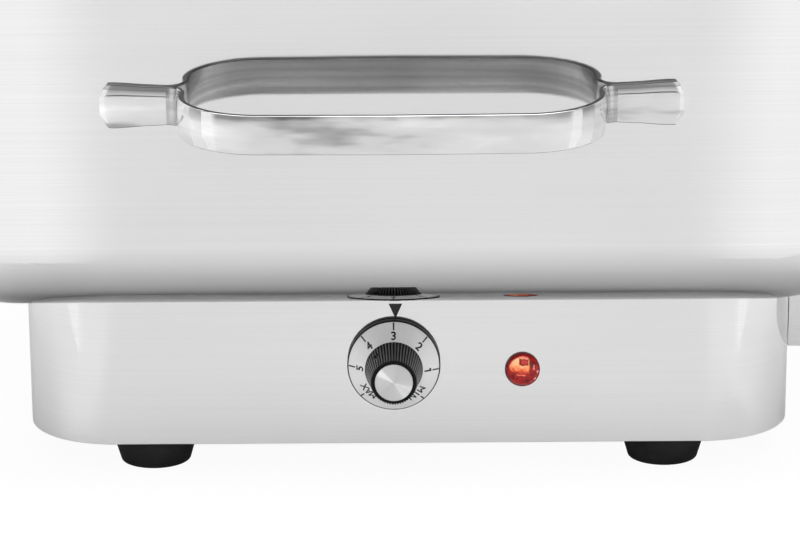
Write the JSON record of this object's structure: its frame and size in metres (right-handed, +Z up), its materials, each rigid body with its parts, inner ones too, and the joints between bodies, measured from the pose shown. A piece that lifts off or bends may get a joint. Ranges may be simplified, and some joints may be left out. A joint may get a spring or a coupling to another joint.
{
  "type": "electric chafing dish",
  "caption": "Electric chafing dish: heated steel base with thermostat dial and pilot lamp, drawn water pan with strap handles, hanging food pan and a stepped lid hinged at the back.",
  "frame": {"origin": "on the surface the feet stand on, under the middle of the object's bounding box", "axes": "+X towards the hinges at the back, +Y from the control end to the cord end, +Z up"},
  "size_m": [0.5417, 0.7478, 0.3325],
  "materials": {
    "polished_steel": "polished",
    "satin_steel": "satin",
    "zinc_steel": "zinc plated",
    "dark_steel": "heat darkened",
    "rubber": "moulded",
    "black_plastic": "moulded",
    "pale_plastic": "moulded",
    "aluminium": "spun",
    "red_lens": "clear red",
    "brass": "plain"
  },
  "bodies": {
    "chassis": {"base_shell": "polished_steel", "base_floor": "satin_steel", "foot_front_left": "rubber", "foot_front_right": "rubber", "foot_rear_left": "rubber", "foot_rear_right": "rubber", "foot_screws": "zinc_steel", "foot_nuts": "zinc_steel", "floor_screws": "zinc_steel", "water_pan": "polished_steel", "pan_nuts": "zinc_steel", "end_handle_front": "polished_steel", "end_handle_rear": "polished_steel", "pan_frame": "satin_steel", "food_pan": "satin_steel", "heating_element": "dark_steel", "element_clamps": "satin_steel", "clamp_nuts": "zinc_steel", "heat_shield": "satin_steel", "thermostat_body": "pale_plastic", "thermostat_screws": "zinc_steel", "sensor_bulb": "brass", "capillary_tube": "brass", "bulb_clip": "satin_steel", "overheat_cutout": "pale_plastic", "terminal_block": "pale_plastic", "earth_stud": "brass", "pilot_lens": "red_lens", "pilot_body": "black_plastic", "pilot_nut": "zinc_steel", "cord_gland": "black_plastic", "gland_nut": "black_plastic", "hinge_bracket_front": "satin_steel", "hinge_bracket_rear": "satin_steel", "bracket_bolts": "zinc_steel", "bracket_spacers": "zinc_steel", "bracket_nuts": "zinc_steel", "hinge_pins": "zinc_steel", "hinge_washers": "brass", "pin_clips": "zinc_steel", "stop_pins": "zinc_steel"},
    "dial": {"knob_grip": "black_plastic", "dial_plate": "aluminium", "knob_cap": "aluminium", "grub_screw": "zinc_steel", "thermostat_shaft": "zinc_steel"},
    "lid": {"lid_shell": "polished_steel", "lid_handle": "polished_steel", "hinge_arm_front": "satin_steel", "hinge_arm_rear": "satin_steel", "hinge_rivets": "zinc_steel"}
  },
  "joints": [
    {"name": "dial_turn", "type": "hinge", "parent": "chassis", "child": "dial", "pos_m": [0.005, -0.28, 0.054], "axis": [0, 1, 0], "range_deg": [-138, 138]},
    {"name": "lid_swing", "type": "hinge", "parent": "chassis", "child": "lid", "pos_m": [0.25, 0, 0.25355], "axis": [0, 1, 0], "range_deg": [0, 95]}
  ]
}
